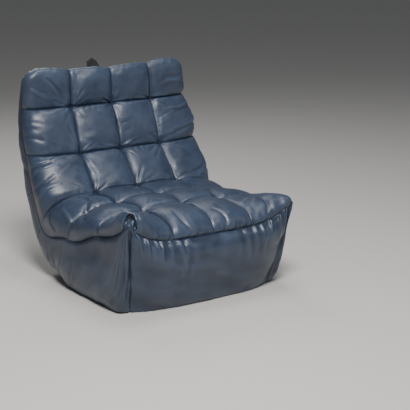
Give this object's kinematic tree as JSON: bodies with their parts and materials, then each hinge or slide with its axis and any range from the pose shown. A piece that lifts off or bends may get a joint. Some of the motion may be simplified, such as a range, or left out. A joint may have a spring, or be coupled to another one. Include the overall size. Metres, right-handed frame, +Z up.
{
  "type": "bean bag chair",
  "caption": "Low lounge chair without a frame: a quilted, tufted leather bag with a high sloped back and a deep seat, filled with foam beads.",
  "frame": {"origin": "on the floor, under the middle of the chair's bounding box", "axes": "+Z up, -Y the way the sitter faces, +X the sitter's left as seen from the front on the right"},
  "size_m": [0.9362, 1.0401, 0.993],
  "materials": {
    "leather": "navy aniline leather, satin",
    "sole_leather": "dark coated leather, matt",
    "wadding": "lofted polyester",
    "backing_cloth": "plain calico",
    "liner_cloth": "woven polyester",
    "beads": "expanded polystyrene beads",
    "thread": "waxed thread",
    "washer": "moulded, matt",
    "zip_tape": "woven tape",
    "zip_plastic": "moulded, satin",
    "zip_metal": "die cast, satin",
    "webbing": "woven polyester webbing"
  },
  "bodies": {
    "cushion": {"quilt_patch_r1_c1": "leather", "quilt_patch_r1_c2": "leather", "quilt_patch_r1_c3": "leather", "quilt_patch_r1_c4": "leather", "quilt_patch_r2_c1": "leather", "quilt_patch_r2_c2": "leather", "quilt_patch_r2_c3": "leather", "quilt_patch_r2_c4": "leather", "quilt_patch_r3_c1": "leather", "quilt_patch_r3_c2": "leather", "quilt_patch_r3_c3": "leather", "quilt_patch_r3_c4": "leather", "quilt_patch_r4_c1": "leather", "quilt_patch_r4_c2": "leather", "quilt_patch_r4_c3": "leather", "quilt_patch_r4_c4": "leather", "quilt_patch_r5_c1": "leather", "quilt_patch_r5_c2": "leather", "quilt_patch_r5_c3": "leather", "quilt_patch_r5_c4": "leather", "quilt_patch_r6_c1": "leather", "quilt_patch_r6_c2": "leather", "quilt_patch_r6_c3": "leather", "quilt_patch_r6_c4": "leather", "side_panel_left": "leather", "side_panel_right": "leather", "front_panel": "leather", "rear_panel_upper": "leather", "rear_panel_lower": "leather", "heel_panel": "leather", "base_panel": "sole_leather", "quilt_wadding": "wadding", "quilt_backing": "backing_cloth", "tuft_ties": "thread", "tuft_washers": "washer", "liner_front": "liner_cloth", "liner_rear": "liner_cloth", "bead_fill_back": "beads", "bead_fill_seat": "beads", "zip_tape_upper": "zip_tape", "zip_tape_lower": "zip_tape", "zip_teeth_upper": "zip_plastic", "zip_teeth_lower": "zip_plastic", "zip_end_stops": "zip_metal", "strap_tab_left": "webbing", "strap_tab_right": "webbing"},
    "zip_slider": {"zip_slider": "zip_metal"},
    "zip_pull": {"zip_pull": "zip_metal"},
    "carry_strap": {"carry_strap": "webbing"}
  },
  "joints": [
    {"name": "zip_slide", "type": "slide", "parent": "cushion", "child": "zip_slider", "axis": [-1, 0, 0], "range_m": [0, 0.378]},
    {"name": "pull_swing", "type": "hinge", "parent": "zip_slider", "child": "zip_pull", "pos_m": [0.189, 0.45025, 0.33674], "axis": [0, -0.2379, -0.9713], "range_deg": [0, 170]},
    {"name": "strap_flop", "type": "hinge", "parent": "cushion", "child": "carry_strap", "pos_m": [-0.04, 0.44519, 0.91312], "axis": [-1, 0, 0], "range_deg": [0, 130]}
  ]
}
